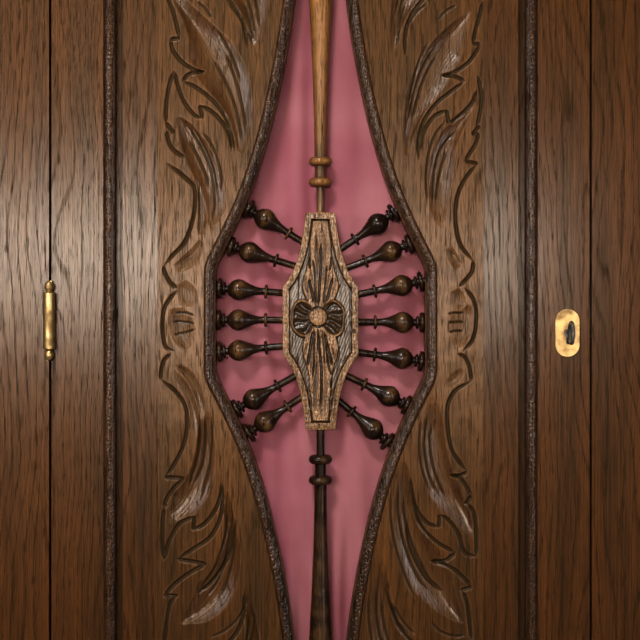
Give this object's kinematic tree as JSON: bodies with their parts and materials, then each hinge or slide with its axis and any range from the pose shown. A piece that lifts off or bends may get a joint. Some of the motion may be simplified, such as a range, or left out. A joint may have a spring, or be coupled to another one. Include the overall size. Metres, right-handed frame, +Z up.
{
  "type": "single-door wardrobe",
  "caption": "Dark oak wardrobe with one hinged door: a carved panel pierced by a tall pointed opening with turned spindles, a carved plaque and a pink curtain.",
  "frame": {"origin": "on the floor, under the middle of the whole box", "axes": "+Z up, the door and its carving face -Y, +X to the right of someone facing the door"},
  "size_m": [0.828, 0.576, 2],
  "materials": {
    "oak_case": "dark stained oak, satin varnish",
    "oak_inside": "plain oak, waxed thinly",
    "oak_pegs": "end grain oak, dark stained",
    "oak_door": "dark stained oak, satin varnish",
    "oak_carved": "carved oak, dark in the cuts and worn on the ridges",
    "oak_plaque": "carved oak, a little lighter, dark in the cuts",
    "oak_bead": "punched oak, nearly black",
    "turned_dark": "turned oak, nearly black, worn to brown on the bulbs",
    "curtain_cloth": "dusty pink cotton sateen",
    "brass": "aged brass",
    "hinge_metal": "aged brass",
    "lock_iron": "oiled iron"
  },
  "bodies": {
    "case": {"front_post_left": "oak_case", "front_post_right": "oak_case", "rear_posts": "oak_case", "side_rails": "oak_case", "side_panels": "oak_case", "base_rail": "oak_case", "frieze_rail": "oak_case", "cornice": "oak_case", "base_moulding": "oak_case", "feet": "oak_case", "rear_rails": "oak_inside", "back_boards": "oak_inside", "floor_board": "oak_inside", "top_board": "oak_inside", "hat_shelf": "oak_inside", "shelf_cleats": "oak_inside", "hanging_rail": "oak_inside", "rail_sockets": "oak_inside", "door_stops": "oak_inside", "case_pegs": "oak_pegs", "hinge_leaves_case": "hinge_metal", "hinge_pins": "hinge_metal", "strike_plate": "lock_iron"},
    "door": {"door_pegs": "oak_pegs", "door_stile_hinge": "oak_door", "door_stile_lock": "oak_door", "door_rails": "oak_door", "panel_bands": "oak_door", "carved_board_left": "oak_carved", "carved_board_right": "oak_carved", "plaque": "oak_plaque", "frame_bead": "oak_bead", "opening_bead_left": "oak_bead", "opening_bead_right": "oak_bead", "spindle_left_1": "turned_dark", "spindle_left_2": "turned_dark", "spindle_left_3": "turned_dark", "spindle_left_4": "turned_dark", "spindle_left_5": "turned_dark", "spindle_left_6": "turned_dark", "spindle_left_7": "turned_dark", "spindle_right_1": "turned_dark", "spindle_right_2": "turned_dark", "spindle_right_3": "turned_dark", "spindle_right_4": "turned_dark", "spindle_right_5": "turned_dark", "spindle_right_6": "turned_dark", "spindle_right_7": "turned_dark", "long_spindle_upper": "turned_dark", "long_spindle_lower": "turned_dark", "curtain": "curtain_cloth", "curtain_rods": "brass", "curtain_hooks": "brass", "escutcheon": "brass", "hinge_leaves_door": "hinge_metal", "lock_case": "lock_iron"},
    "lock_bolt": {"lock_bolt": "lock_iron"},
    "key": {"key": "lock_iron"}
  },
  "joints": [
    {"name": "door_hinge", "type": "hinge", "parent": "case", "child": "door", "pos_m": [-0.29675, -0.249, 1.008], "axis": [0, 0, -1], "range_deg": [0, 105]},
    {"name": "key_turn", "type": "hinge", "parent": "door", "child": "key", "pos_m": [0.271, -0.228, 0.995], "axis": [0, 1, 0], "range_deg": [0, 180]},
    {"name": "bolt_slide", "type": "slide", "parent": "door", "child": "lock_bolt", "axis": [1, 0, 0], "range_m": [0, 0.012]}
  ],
  "couplings": [
    {"joint": "key_turn", "follows": "bolt_slide", "rad_per_m": 261.79}
  ]
}
